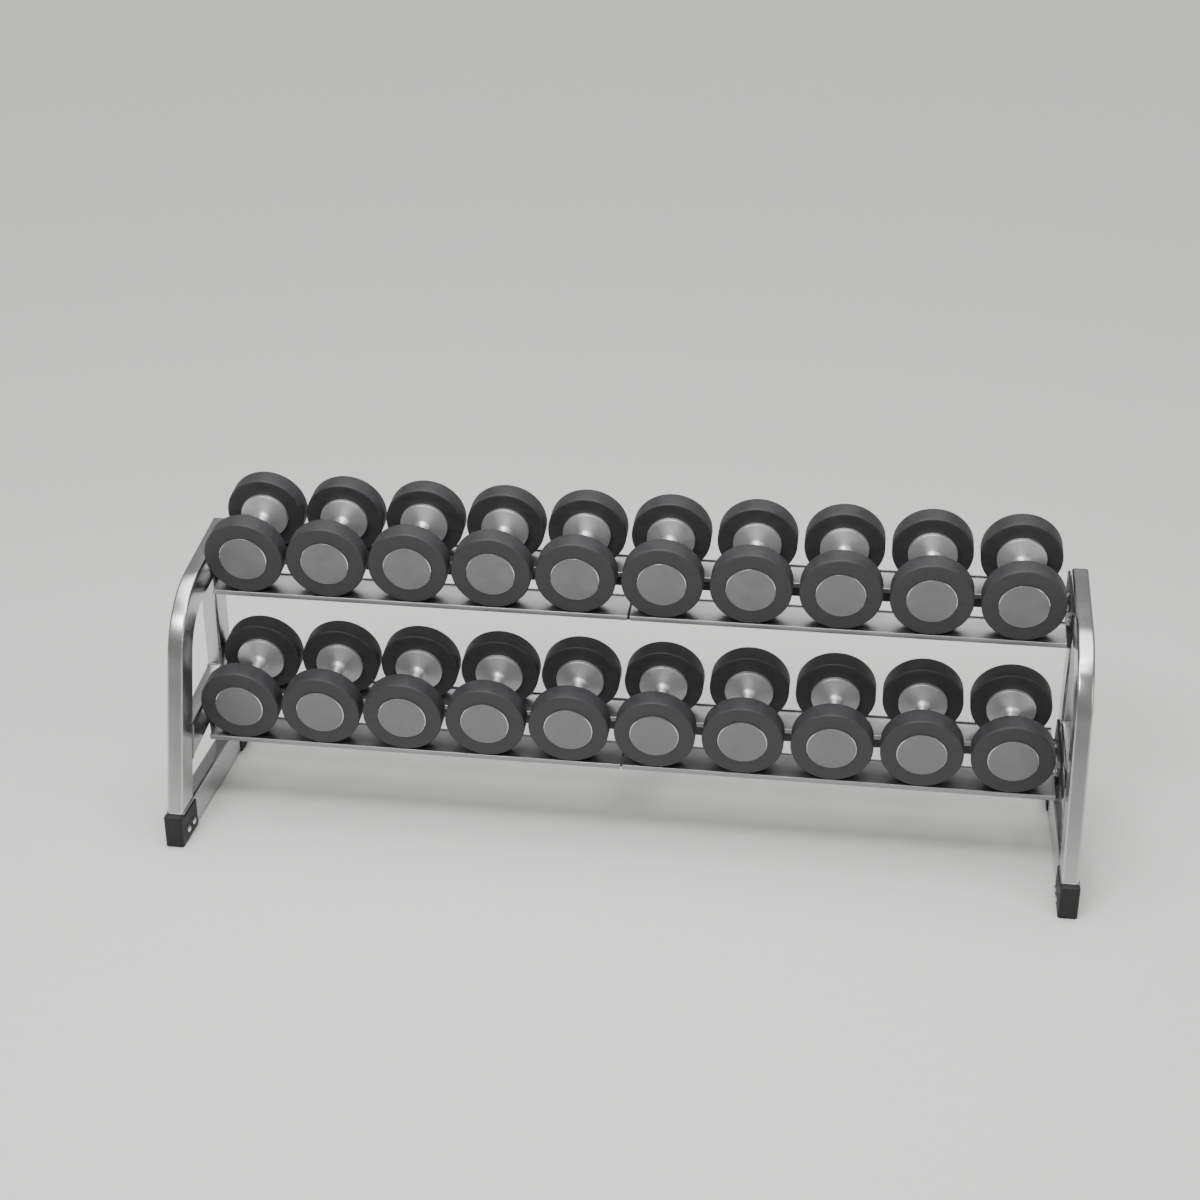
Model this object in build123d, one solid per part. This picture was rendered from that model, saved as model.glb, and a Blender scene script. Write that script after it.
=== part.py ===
from build123d import *
import os
from math import cos, radians, sin, tan

# Two-tier dumbbell rack with ten round-head dumbbells on each tier.
# Millimetres. X runs along the rack, Y to its back, Z up.
# The origin is on the floor, under the middle of the rack.

# ---- driving dimensions -------------------------------------------------------
HALF_LENGTH = 1099.5      # rack centre to the outer face of a side frame
HALF_DEPTH = 296.0        # rack centre to the front or rear face of a floor boot
TILT = 9.65               # the tiers lean forward by this angle, in degrees
TOP_TIER = (27.0, 642.0)  # y and z of a top dumbbell's front disc centre
TIER_STEP = (-119.0, -349.0)  # from the top tier to the lower one, in y and z

TUBE_WIDTH = 40.0         # side frame tube, across the rack
TUBE_DEPTH = 80.0         # side frame tube, in the plane of the frame
TUBE_WALL = 3.0
TUBE_CORNER = 7.0
RUN_DROP = 20.0           # dumbbell axis down to the top face of the tube below it
BEND_OUTSIDE = 220.0      # radius of the bow's bend on its outer face
LEG_LEAN = 15.0           # front leg from the vertical, in degrees
LEG_FOOT_Y = -275.7       # front face of the front leg where it meets the base rail
REAR_LEG_Y = 139.0        # middle of the rear leg
RUN_END = 205.0           # the top run's rear end, along the tier from the front disc
SOLE = 4.0                # boot thickness under the base rail

HEAD_DIAMETER = 198.0
HEAD_FACES = (3.0, 54.0)  # front head, from the front disc's face
DUMBBELL_LENGTH = 260.0
HEAD_EDGE = 6.0           # rounding of the urethane head
CORE_DIAMETER = 184.0
CORE_FACES = (8.0, 50.0)
DISC_DIAMETER = 120.0
DISC_BEVEL = 1.4
FLANGE_FACE = 64.0        # inner edge of the flange's rim
FLANGE_EDGE = 1.2
CONE_LENGTH = 12.0        # flange's rim to the small end of its cone
CONE_STEP = 8.0           # the cone's small end over the grip, in radius
NECK_LENGTH = 27.0        # flange's rim to the plain grip
SPIGOT_DIAMETER = 32.0
GRIP_DIAMETER = 28.0
LEFT_FIRST, LEFT_PITCH = -957.0, 207.0    # five dumbbells on the left half
RIGHT_FIRST, RIGHT_PITCH = 82.0, 214.0    # five dumbbells on the right half
PER_HALF = 5

REST_GAP = 0.3            # running clearance between a head and its rail
RAILS = {"front": (2.0, 88.0), "rear": (186.0, 262.0)}  # front and rear edge, from the front disc's face
RAIL_SHEET = 3.0
RAIL_SKIRT = 12.7         # front edge, turned down
RAIL_LIP = 5.0            # rear edge, turned up
RAIL_FOLD = 2.4           # outer radius of the rail's folds
RAIL_END = 1046.7         # rack centre to the outer end of a rail
RAIL_SPLIT = 6.0          # gap between the two halves of a rail

BEAM_SIZE = 40.0
BEAM_WALL = 3.0
BEAM_CORNER = 4.0
BEAM_AT = {"front": 65.0, "rear": 210.0}  # middles of the beams, from the front disc's face
PLATE = 5.0               # beam end plates and centre ties
PLATE_ENDS = (45.0, 240.0)
PLATE_TOP, PLATE_BOTTOM = -45.0, -148.0
PLATE_CORNER = 10.0
TIE_WIDTH = 60.0
TIE_REACH = 10.0          # a centre tie's end, past the middle of a beam
TIE_CORNER = 8.0

BOOT_LENGTH = 112.0
BOOT_NOSE = 20.0          # solid front of a boot, ahead of the base rail
BOOT_WALL = 3.0
BOOT_HEIGHT = TUBE_DEPTH + SOLE - 10.0
BOOT_CORNER = 6.0
BOOT_TOP_EDGE = 4.0
BOOT_BOTTOM_EDGE = 2.5

PLUG_CAP = 4.0
PLUG_STEM = 22.0
PLUG_EDGE = 1.5
FIT = 0.1                 # radial clearance of parts that sit in each other

BOLT_SHANK = 10.0
BOLT_AF = 17.0
BOLT_HEAD = 6.0
RAIL_BOLT_SHANK = 8.0
RAIL_BOLT_HEAD = 2.2
RUNG_DRAWN = 400.0        # half of the rung's length before it is cut
OVERRUN = 60.0            # how far a tube is drawn past its joint before it is cut
BEYOND = 1500.0           # reach of a trimming block, past the whole rack's depth

# ---- values that follow from them ---------------------------------------------
LEDGE = -HEAD_DIAMETER / 2 - REST_GAP
INNER_FACE = HALF_LENGTH - TUBE_WIDTH
FRAME_X = HALF_LENGTH - TUBE_WIDTH / 2
PLATE_FACE = INNER_FACE - PLATE
BASE_TOP = SOLE + TUBE_DEPTH
MIDDLE = DUMBBELL_LENGTH / 2
BEAM_TOP = LEDGE - RAIL_SHEET
LOWER_TIER = (TOP_TIER[0] + TIER_STEP[0], TOP_TIER[1] + TIER_STEP[1])
TIERS = {"top": TOP_TIER, "lower": LOWER_TIER}
RAIL_BOLT_X = (120.0, 523.0, 926.0)
RAIL_BOLT_AT = {"front": 65.0, "rear": 198.0}   # back along a tier
BOOT_BOLT_Y = (39.0, 77.0)
BOOT_BOLT_Z = 32.0
PLATE_BOLTS = (62.0, 115.0, 168.0)
PLATE_BOLT_H = -72.0


def tier_plane(tier, x=0.0):
    """A plane whose X runs back along the tier, Y stands off it, Z runs along the rack."""
    y, z = TIERS[tier]
    along = (0, cos(radians(TILT)), sin(radians(TILT)))
    return Plane(origin=(x, y, z), x_dir=along, z_dir=(1, 0, 0))


def on_tier(tier, s, h):
    """The y and z of a point s back along a tier and h off its dumbbells' axis."""
    y, z = TIERS[tier]
    c, n = cos(radians(TILT)), sin(radians(TILT))
    return y + s * c - h * n, z + s * n + h * c


def place(shape, tier, x):
    """Carries a shape made about the X axis to its place on a tier."""
    return tier_plane(tier, x).location * shape


# ---- dumbbells ----------------------------------------------------------------
def ring(outer, inner, start, end):
    """A plain ring about the X axis."""
    profile = make_face(Polyline((start, inner), (end, inner), (end, outer), (start, outer), close=True))
    return revolve(profile, Axis.X)


def head_cover():
    """Front urethane head: rounded outside, hollow for its iron core."""
    front, back = HEAD_FACES
    radius = HEAD_DIAMETER / 2
    outline = Polyline((front, 0), (back, 0), (back, radius), (front, radius), close=True)
    face = make_face(outline)
    rim = [v for v in face.vertices() if v.Y > radius - 1]
    cover = revolve(fillet(rim, HEAD_EDGE), Axis.X)
    cover -= ring(CORE_DIAMETER / 2 + FIT, 0, *CORE_FACES)
    cover -= ring(DISC_DIAMETER / 2 + FIT, 0, front - 1, CORE_FACES[0])
    cover -= ring(SPIGOT_DIAMETER / 2 + FIT, 0, CORE_FACES[1], back + 1)
    return cover


def mirrored(shape):
    """The same piece at the dumbbell's other end."""
    return mirror(shape, about=Plane.YZ.offset(MIDDLE))


def handle():
    """Turned steel handle: spigots, rims, conical flanges and a plain grip."""
    spigot, grip, rim = SPIGOT_DIAMETER / 2, GRIP_DIAMETER / 2, DISC_DIAMETER / 2
    cone_end = (FLANGE_FACE + CONE_LENGTH, grip + CONE_STEP)
    neck_end = (FLANGE_FACE + NECK_LENGTH, grip)
    front = CORE_FACES[0]
    back = HEAD_FACES[1]
    edge = FLANGE_EDGE
    half = [
        Line((front, 0), (front, spigot)),
        Line((front, spigot), (back, spigot)),
        Line((back, spigot), (back, rim)),
        Line((back, rim), (FLANGE_FACE - edge, rim)),
        Line((FLANGE_FACE - edge, rim), (FLANGE_FACE, rim - edge)),
        Line((FLANGE_FACE, rim - edge), cone_end),
        TangentArc(neck_end, cone_end, tangent=(-1, 0), tangent_from_first=True),
        Line(neck_end, (MIDDLE, grip)),
        Line((MIDDLE, grip), (MIDDLE, 0)),
        Line((MIDDLE, 0), (front, 0)),
    ]
    turned = revolve(make_face(half), Axis.X)
    return turned + mirrored(turned)


def dumbbell_bar():
    """The steel of one dumbbell: handle, two iron cores and two end discs."""
    core = ring(CORE_DIAMETER / 2, SPIGOT_DIAMETER / 2 + FIT, *CORE_FACES)
    disc = ring(DISC_DIAMETER / 2, 0, 0, CORE_FACES[0])
    front_edge = disc.edges().sort_by(Axis.X)[0]
    disc = chamfer(front_edge, DISC_BEVEL)
    pieces = [handle()]
    for piece in (core, disc):
        pieces += [piece, mirrored(piece)]
    return pieces


# ---- side frames --------------------------------------------------------------
def tube(*points, bend=None):
    """A hollow tube whose middle line runs through points given as (y, z)."""
    line = [(FRAME_X, y, z) for y, z in points]
    path = FilletPolyline(*line, radius=bend) if bend else Polyline(*line)
    start = Plane(origin=path @ 0, x_dir=(1, 0, 0), z_dir=path % 0)
    outside = RectangleRounded(TUBE_WIDTH, TUBE_DEPTH, TUBE_CORNER)
    inside = RectangleRounded(TUBE_WIDTH - 2 * TUBE_WALL, TUBE_DEPTH - 2 * TUBE_WALL, TUBE_CORNER - TUBE_WALL)
    return sweep(start * outside, path=path) - sweep(start * inside, path=path)


def trim_block(plane):
    """All that lies on the far side of a plane, wide enough to trim a tube."""
    block = Box(BEYOND, BEYOND, BEYOND, align=(Align.CENTER, Align.CENTER, Align.MIN))
    return plane.location * block


def leg_y(z, behind):
    """y of a line in the front leg, a distance behind its front face."""
    lean = radians(LEG_LEAN)
    return LEG_FOOT_Y + (z - BASE_TOP) * tan(lean) + behind / cos(lean)


def bow_corner():
    """Where the middle lines of the front leg and of the top run would cross."""
    y, z = on_tier("top", 0, -RUN_DROP - TUBE_DEPTH / 2)
    slope, lean = tan(radians(TILT)), tan(radians(LEG_LEAN))
    gap = leg_y(z, TUBE_DEPTH / 2) - y
    run_y = y + gap / (1 - slope * lean)
    return run_y, z + (run_y - y) * slope


def right_frame_tubes():
    """Bow, rear leg, lower rung and base rail, each cut to the tube that it meets."""
    run_middle = -RUN_DROP - TUBE_DEPTH / 2
    foot = (leg_y(BASE_TOP - OVERRUN, TUBE_DEPTH / 2), BASE_TOP - OVERRUN)
    run_end = on_tier("top", RUN_END, run_middle)
    bow = tube(foot, bow_corner(), run_end, bend=BEND_OUTSIDE - TUBE_DEPTH / 2)
    bow -= trim_block(Plane(origin=(FRAME_X, 0, BASE_TOP), z_dir=(0, 0, -1)))

    rear_leg = tube((REAR_LEG_Y, BASE_TOP), (REAR_LEG_Y, TOP_TIER[1] + OVERRUN))
    under_run = (FRAME_X, *on_tier("top", 0, run_middle - TUBE_DEPTH / 2))
    rear_leg -= trim_block(Plane(origin=under_run, z_dir=tier_plane("top").y_dir))

    rung_front = on_tier("lower", -RUNG_DRAWN, run_middle)
    rung_rear = on_tier("lower", RUNG_DRAWN, run_middle)
    rung = tube(rung_front, rung_rear)
    rung -= trim_block(Plane(origin=(FRAME_X, REAR_LEG_Y - TUBE_DEPTH / 2, 0), z_dir=(0, 1, 0)))
    lean = radians(LEG_LEAN)
    leg_back = (FRAME_X, leg_y(BASE_TOP, TUBE_DEPTH), BASE_TOP)
    rung -= trim_block(Plane(origin=leg_back, z_dir=(0, -cos(lean), sin(lean))))

    end = HALF_DEPTH - BOOT_NOSE
    base_middle = SOLE + TUBE_DEPTH / 2
    base = tube((-end, base_middle), (end, base_middle))
    return bow, rear_leg, rung, base


def side_frame():
    """The right side frame with its bolt holes, as four welded tubes."""
    holes = []
    for tier in TIERS:
        for s in PLATE_BOLTS:
            holes.append(plate_bolt_hole(tier, s))
    for end in (-1, 1):
        for y in BOOT_BOLT_Y:
            holes.append(boot_bolt_hole(end, y))
    return [cut_all(piece, holes) for piece in right_frame_tubes()]


def cut_all(piece, holes):
    """The piece less each hole that comes near it."""
    for hole in holes:
        if piece.bounding_box().overlaps(hole.bounding_box()):
            piece -= hole
    return piece


def top_run_plug():
    """Plastic plug in the rear end of the right bow."""
    head = RectangleRounded(TUBE_DEPTH, TUBE_WIDTH, TUBE_CORNER)
    cap = chamfer(extrude(head, PLUG_CAP).faces().sort_by(Axis.Z)[-1].edges(), PLUG_EDGE)
    wall = 2 * TUBE_WALL + 10 * FIT
    stem = RectangleRounded(TUBE_DEPTH - wall, TUBE_WIDTH - wall, TUBE_CORNER - TUBE_WALL - 10 * FIT)
    plug = cap + extrude(stem, -PLUG_STEM)
    middle = -RUN_DROP - TUBE_DEPTH / 2
    seat = Plane(tier_plane("top").location * Location((RUN_END, middle, FRAME_X)))
    facing = Plane(origin=seat.origin, x_dir=seat.y_dir, z_dir=seat.x_dir)
    return facing.location * plug


def boot():
    """Front right floor boot: sole, front block and two side walls round the base rail."""
    width = TUBE_WIDTH + 2 * BOOT_WALL
    plan = make_face(Rectangle(width, BOOT_LENGTH, align=(Align.CENTER, Align.MIN)).edges())
    plan = fillet(plan.vertices().group_by(Axis.Y)[0], BOOT_CORNER)
    shell = extrude(plan, BASE_TOP)
    shell = chamfer(shell.faces().sort_by(Axis.Z)[0].edges(), BOOT_BOTTOM_EDGE)
    shell = fillet(shell.faces().sort_by(Axis.Z)[-1].edges(), BOOT_TOP_EDGE)
    room = 2 * BOOT_LENGTH
    rail_room = Pos(0, BOOT_NOSE + room / 2, SOLE + room / 2) * Box(TUBE_WIDTH, room, room)
    above = Pos(0, BOOT_NOSE + room / 2, BOOT_HEIGHT + room / 2) * Box(room, room, room)
    shell = shell - rail_room - above
    boot_piece = Pos(FRAME_X, -HALF_DEPTH, 0) * shell
    return cut_all(boot_piece, [boot_bolt_hole(-1, y) for y in BOOT_BOLT_Y])


# ---- fasteners ----------------------------------------------------------------
def hex_bolt(shank, length, across_flats, head):
    """A bolt along Z with its head on top, its seat at the origin."""
    hexagon = RegularPolygon(across_flats / 2, 6, major_radius=False)
    top = extrude(hexagon, head)
    crown = Cone(across_flats * 0.75, across_flats * 0.35, head, align=(Align.CENTER, Align.CENTER, Align.MIN))
    return (top & crown) + Pos(0, 0, -length / 2) * Cylinder(shank / 2, length)


def button_bolt(shank, length, head):
    """A low button-head bolt along Z with a hexagon socket, its seat at the origin."""
    dome = Pos(0, 0, head / 2) * Cylinder(shank * 0.9, head)
    dome = fillet(dome.edges().sort_by(Axis.Z)[-1], head * 0.8)
    dome -= Pos(0, 0, head - 1.6) * extrude(RegularPolygon(shank * 0.32, 6), 3)
    return dome + Pos(0, 0, -length / 2) * Cylinder(shank / 2, length)


def facing_in(y, z, x):
    """A place on the right side frame's inner side, with Z pointing at the rack's middle."""
    return Plane(origin=(x, y, z), x_dir=(0, 1, 0), z_dir=(-1, 0, 0)).location


def plate_bolt_hole(tier, s):
    y, z = on_tier(tier, s, PLATE_BOLT_H)
    return facing_in(y, z, INNER_FACE) * Cylinder(BOLT_SHANK / 2 + FIT, 4 * PLATE)


def boot_bolt_hole(end, y):
    at = facing_in(end * (HALF_DEPTH - y), BOOT_BOLT_Z, INNER_FACE)
    return at * Cylinder(BOLT_SHANK / 2 + FIT, 4 * BOOT_WALL)


def rail_bolt_seat(tier, side, x):
    """Where a rail bolt's head sits on the ledge, with Z off the tier."""
    y, z = on_tier(tier, RAIL_BOLT_AT[side], LEDGE)
    return Plane(origin=(x, y, z), x_dir=(1, 0, 0), z_dir=tier_plane(tier).y_dir).location


def rail_bolt_hole(tier, side, x):
    return rail_bolt_seat(tier, side, x) * Cylinder(RAIL_BOLT_SHANK / 2 + FIT, 4 * BEAM_WALL + 2)


# ---- rails and beams ----------------------------------------------------------
def rail_sections(side):
    """A rail in section: the sheet with its skirt, and the lip on its rear edge."""
    low = LEDGE - RAIL_SHEET
    front, back = RAILS[side]
    sheet = RAIL_SHEET
    tray = make_face(Polyline(
        (front, LEDGE - RAIL_SKIRT), (front, LEDGE), (back, LEDGE), (back, low),
        (front + sheet, low), (front + sheet, LEDGE - RAIL_SKIRT), close=True,
    ))
    nose = tray.vertices().sort_by_distance((front, LEDGE))[0]
    heel = tray.vertices().sort_by_distance((back, low))[0]
    lip = Pos(back - sheet / 2, LEDGE + RAIL_LIP / 2) * Rectangle(sheet, RAIL_LIP)
    crown = lip.vertices().group_by(Axis.Y)[-1]
    return fillet([nose, heel], RAIL_FOLD), fillet(crown, sheet / 3)


def rail(tier, side, half):
    """One half of a rail. half is -1 for the left and 1 for the right."""
    length = RAIL_END - RAIL_SPLIT / 2
    start = RAIL_SPLIT / 2 if half > 0 else -RAIL_END
    holes = [rail_bolt_hole(tier, side, half * x) for x in RAIL_BOLT_X]
    pieces = []
    for section in rail_sections(side):
        bar = extrude(section, length, dir=(0, 0, 1))
        pieces.append(cut_all(place(bar, tier, start), holes))
    return pieces


def beams(tier):
    """Two square tubes under the rails."""
    pieces = []
    hollow = Rectangle(BEAM_SIZE - 2 * BEAM_WALL, BEAM_SIZE - 2 * BEAM_WALL)
    section = RectangleRounded(BEAM_SIZE, BEAM_SIZE, BEAM_CORNER) - hollow
    holes = [rail_bolt_hole(tier, side, half * x)
             for side in RAILS for half in (-1, 1) for x in RAIL_BOLT_X]
    for s in BEAM_AT.values():
        bar = extrude(Pos(s, BEAM_TOP - BEAM_SIZE / 2) * section, 2 * PLATE_FACE)
        pieces.append(cut_all(place(bar, tier, -PLATE_FACE), holes))
    return pieces


def centre_tie(tier):
    """Flat strap under both beams at the middle of the rack."""
    front, rear = BEAM_AT.values()
    centre = ((front + rear) / 2, BEAM_TOP - BEAM_SIZE - PLATE / 2, 0)
    strap = Pos(*centre) * Box(rear - front + 2 * TIE_REACH, PLATE, TIE_WIDTH)
    strap = fillet(strap.edges().filter_by(Axis.Y), TIE_CORNER)
    return place(strap, tier, 0)


def end_plate(tier):
    """Right end plate, which the beams are welded to."""
    start, end = PLATE_ENDS
    centre = ((start + end) / 2, (PLATE_TOP + PLATE_BOTTOM) / 2, PLATE / 2)
    plate = Pos(*centre) * Box(end - start, PLATE_TOP - PLATE_BOTTOM, PLATE)
    plate = fillet(plate.edges().filter_by(Axis.Z), PLATE_CORNER)
    piece = place(plate, tier, PLATE_FACE)
    return cut_all(piece, [plate_bolt_hole(tier, s) for s in PLATE_BOLTS])


# ---- whole rack ---------------------------------------------------------------
def left_copy(pieces):
    """The same pieces on the rack's left."""
    return [mirror(piece, about=Plane.YZ) for piece in pieces]


def fore_and_aft(piece):
    """A piece at the front and the same piece turned round at the back."""
    return [piece, mirror(piece, about=Plane.XZ)]


def rack_nodes():
    right_frame = side_frame()
    plates = [end_plate(tier) for tier in TIERS]
    boots = fore_and_aft(boot())
    plug = [top_run_plug()]

    plate_bolt = hex_bolt(BOLT_SHANK, PLATE + TUBE_WALL, BOLT_AF, BOLT_HEAD)
    boot_bolt = hex_bolt(BOLT_SHANK, BOOT_WALL + TUBE_WALL, BOLT_AF, BOLT_HEAD)
    plate_bolts = []
    for tier in TIERS:
        for s in PLATE_BOLTS:
            plate_bolts.append(facing_in(*on_tier(tier, s, PLATE_BOLT_H), PLATE_FACE) * plate_bolt)
    boot_bolts = []
    for end in (-1, 1):
        for y in BOOT_BOLT_Y:
            seat = facing_in(end * (HALF_DEPTH - y), BOOT_BOLT_Z, INNER_FACE - BOOT_WALL)
            boot_bolts.append(seat * boot_bolt)

    rail_bolt = button_bolt(RAIL_BOLT_SHANK, RAIL_SHEET + BEAM_WALL, RAIL_BOLT_HEAD)
    rail_bolts = []
    for tier in TIERS:
        for side in RAILS:
            for x in [half * x for half in (-1, 1) for x in RAIL_BOLT_X]:
                rail_bolts.append(rail_bolt_seat(tier, side, x) * rail_bolt)

    nodes = {
        "right_side_frame": right_frame,
        "left_side_frame": left_copy(right_frame),
        "front_floor_boots": [boots[0]] + left_copy([boots[0]]),
        "rear_floor_boots": [boots[1]] + left_copy([boots[1]]),
        "top_run_plugs": plug + left_copy(plug),
        "beam_end_plates": plates + left_copy(plates),
        "centre_ties": [centre_tie(tier) for tier in TIERS],
        "end_plate_bolts": plate_bolts + left_copy(plate_bolts),
        "boot_bolts": boot_bolts + left_copy(boot_bolts),
        "rail_bolts": rail_bolts,
    }
    for tier in TIERS:
        nodes[f"{tier}_tier_beams"] = beams(tier)
        for side in RAILS:
            nodes[f"{tier}_{side}_rail_left"] = rail(tier, side, -1)
            nodes[f"{tier}_{side}_rail_right"] = rail(tier, side, 1)
    return nodes


def dumbbell_nodes():
    cover = head_cover()
    heads = [cover, mirrored(cover)]
    bar = dumbbell_bar()
    left = [LEFT_FIRST + i * LEFT_PITCH for i in range(PER_HALF)]
    right = [RIGHT_FIRST + i * RIGHT_PITCH for i in range(PER_HALF)]
    nodes = {}
    for tier in TIERS:
        for number, x in enumerate(left + right, start=1):
            name = f"{tier}_dumbbell_{number:02d}"
            nodes[f"{name}_heads"] = [place(piece, tier, x) for piece in heads]
            nodes[f"{name}_bar"] = [place(piece, tier, x) for piece in bar]
    return nodes


os.makedirs("parts", exist_ok=True)
for node, pieces in {**rack_nodes(), **dumbbell_nodes()}.items():
    assembly = Compound(children=[piece.solid() for piece in pieces])
    assembly.label = node
    export_step(assembly, f"parts/{node}.step")
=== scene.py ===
"""Two-tier dumbbell rack: its visible pieces, their finishes and a plain studio.

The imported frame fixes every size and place. Lengths are metres. X runs along the rack,
Y to its back, Z up. A tier's own axes are S, back along the tier, and H, off it.
"""

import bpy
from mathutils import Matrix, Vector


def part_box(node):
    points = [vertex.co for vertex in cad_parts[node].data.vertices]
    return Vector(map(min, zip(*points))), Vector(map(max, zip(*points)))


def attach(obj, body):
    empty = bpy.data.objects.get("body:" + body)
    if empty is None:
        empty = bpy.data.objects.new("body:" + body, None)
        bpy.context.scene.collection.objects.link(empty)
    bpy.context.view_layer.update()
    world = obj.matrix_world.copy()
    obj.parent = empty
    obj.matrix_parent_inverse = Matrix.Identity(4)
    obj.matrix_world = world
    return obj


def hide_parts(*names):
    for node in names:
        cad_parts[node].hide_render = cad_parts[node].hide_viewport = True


bl_info = {
    "name": "Dumbbell Rack",
    "version": (1, 0, 0),
    "blender": (4, 5, 0),
    "location": "View3D > Sidebar > Rack",
    "description": "Builds the visible pieces of a loaded two-tier dumbbell rack",
    "category": "Add Mesh",
}

from math import acos, atan2, cos, hypot, pi, radians, sin, tan

import bmesh
import bpy
from bpy.props import FloatProperty, FloatVectorProperty, IntProperty, PointerProperty
from mathutils import Matrix, Vector

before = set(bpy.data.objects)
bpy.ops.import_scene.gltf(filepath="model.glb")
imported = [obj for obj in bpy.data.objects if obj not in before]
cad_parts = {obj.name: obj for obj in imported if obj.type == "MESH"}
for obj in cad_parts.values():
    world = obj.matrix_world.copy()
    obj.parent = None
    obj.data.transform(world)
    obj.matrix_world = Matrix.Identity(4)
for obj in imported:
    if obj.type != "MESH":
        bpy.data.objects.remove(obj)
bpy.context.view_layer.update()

MM = 0.001
TIERS = ("top", "lower")
RAIL_SIDES = ("front", "rear")
HALVES = ("left", "right")
FRAME_LOW, FRAME_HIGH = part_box("right_side_frame")
BOOT_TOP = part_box("front_floor_boots")[1].z

OVERRUN = 60 * MM               # a tube is drawn this far past the plane that cuts it
RUNG_DRAWN = (-300 * MM, 400 * MM)    # the rung before its cuts, back along the lower tier
TUBE_CORNER_SEGMENTS = 6
BEND_STEPS = 28
FOLD_OUTSIDE = 2.6 * MM         # radii of a rail's folds and of its cut edges
FOLD_INSIDE = 0.8 * MM
SHEET_EDGE = 0.7 * MM
RIPPLE_PITCH = 1.6 * MM         # a weld bead's ripples
RIPPLE_DIP = 0.86
TURNED_CENTRE = 4 * MM          # a turned piece's end closes on a circle this small
ARC_STEPS = 9                   # faces across a head's rounded edge
SMALL_ARC_STEPS = 4
CONE_STEPS = 10
FACE_RINGS = 9                  # rings of faces across an end disc
NOISE_LOW, NOISE_HIGH = 0.3, 0.7    # where nearly all of a noise texture's values lie


# ---- settings -------------------------------------------------------------------
def linear(code):
    """A colour given as an sRGB hex code, in the linear values that shaders take."""
    parts = [int(code[i:i + 2], 16) / 255 for i in (1, 3, 5)]
    return [c / 12.92 if c <= 0.04045 else ((c + 0.055) / 1.055) ** 2.4 for c in parts]


def length(label, millimetres, about):
    return FloatProperty(name=label, description=about, default=millimetres * MM, unit="LENGTH", precision=4)


def colour(label, code, about):
    return FloatVectorProperty(name=label, description=about, default=linear(code), subtype="COLOR",
                               min=0, max=1)


class RackSizes(bpy.types.PropertyGroup):
    """Sizes of the rack, as the frame has them."""

    tilt: FloatProperty(name="Tier tilt", description="How far the tiers lean forward",
                        default=radians(9.65), subtype="ANGLE")
    lean: FloatProperty(name="Leg lean", description="Front leg from the vertical",
                        default=radians(15), subtype="ANGLE")
    tube_depth: length("Tube depth", 80, "Side frame tube, in the plane of the frame")
    tube_corner: length("Tube corner", 7, "Outer radius of the tube's corners")
    bend_outside: length("Bend", 220, "Radius of the bow's bend on its outer face")
    run_drop: length("Run drop", 20, "Dumbbell axis down to the tube below it")
    foot_y: length("Leg foot", -275.7, "Front face of the front leg where it stands on the base rail")
    rear_leg_y: length("Rear leg", 139, "Middle of the rear leg")
    run_end: length("Run end", 205, "Rear end of the top run, back along the tier")
    front_rail_start: length("Front rail start", 2, "Front edge of the front rail, back along the tier")
    front_rail_end: length("Front rail end", 88, "Rear edge of the front rail, back along the tier")
    rear_rail_start: length("Rear rail start", 186, "Front edge of the rear rail, back along the tier")
    rear_rail_end: length("Rear rail end", 262, "Rear edge of the rear rail, back along the tier")
    rail_sheet: length("Rail sheet", 3, "Thickness of the rail's sheet")
    rail_skirt: length("Rail skirt", 12.7, "Height of the front edge, which is turned down")
    rail_lip: length("Rail lip", 5, "Height of the rear edge, which is turned up")
    rest_gap: length("Rest gap", 0.3, "Clearance between a head and its rail")
    weld_size: length("Weld", 2.6, "Radius of a weld bead")


class DumbbellSizes(bpy.types.PropertyGroup):
    """Sizes of one dumbbell, as the frame has them."""

    overall: length("Length", 260, "Overall length over the end discs")
    head_front: length("Head front", 3, "Front face of the head, from the disc's face")
    head_back: length("Head back", 54, "Back face of the head, from the disc's face")
    head_radius: length("Head radius", 99, "Radius of the urethane head")
    head_edge: length("Head edge", 4.5, "Rounding of the head's edges")
    disc_radius: length("Disc radius", 60, "Radius of the end disc and of the flange")
    disc_seat: length("Disc seat", 8, "Depth of the disc's seat")
    flange_face: length("Flange face", 64, "Inner edge of the flange's rim")
    cone_length: length("Cone", 12, "Length of the flange's cone")
    cone_step: length("Cone step", 8, "Radius of the cone's small end over the grip's")
    neck_length: length("Neck", 27, "Flange's rim to the plain grip")
    grip_radius: length("Grip radius", 14, "Radius of the grip")
    knurl_reach: length("Knurl", 33, "Middle of the grip to the end of its knurling")
    disc_bevel: length("Disc bevel", 1.4, "Bevel round the end disc")
    around: IntProperty(name="Sides", description="Faces round a turned piece", default=112, min=32)


class RackColours(bpy.types.PropertyGroup):
    """Base colours of the finishes."""

    urethane: colour("Urethane", "#2e2e30", "Moulded urethane of the heads")
    handle: colour("Handle steel", "#dededf", "Turned steel of the handles")
    disc: colour("Disc steel", "#7a7a7b", "Faced steel of the end discs")
    tube: colour("Frame steel", "#bebebf", "Brushed stainless steel of the tubes")
    sheet: colour("Rail steel", "#989899", "Satin steel sheet of the rails")
    coat: colour("Powder coat", "#18181a", "Black powder coat under the rails")
    rubber: colour("Boot rubber", "#111112", "Moulded rubber of the floor boots")
    nylon: colour("Plug nylon", "#19191a", "Nylon of the tube plugs")
    # the zinc colour also colours the disc rims, where it is a painted highlight
    zinc: colour("Bolt zinc", "#cfcfd1", "Bright zinc of the bolts")
    weld: colour("Weld", "#9b9a98", "Brushed weld beads")
    floor: colour("Floor", "#d8d8d6", "Pale studio floor")


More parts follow.
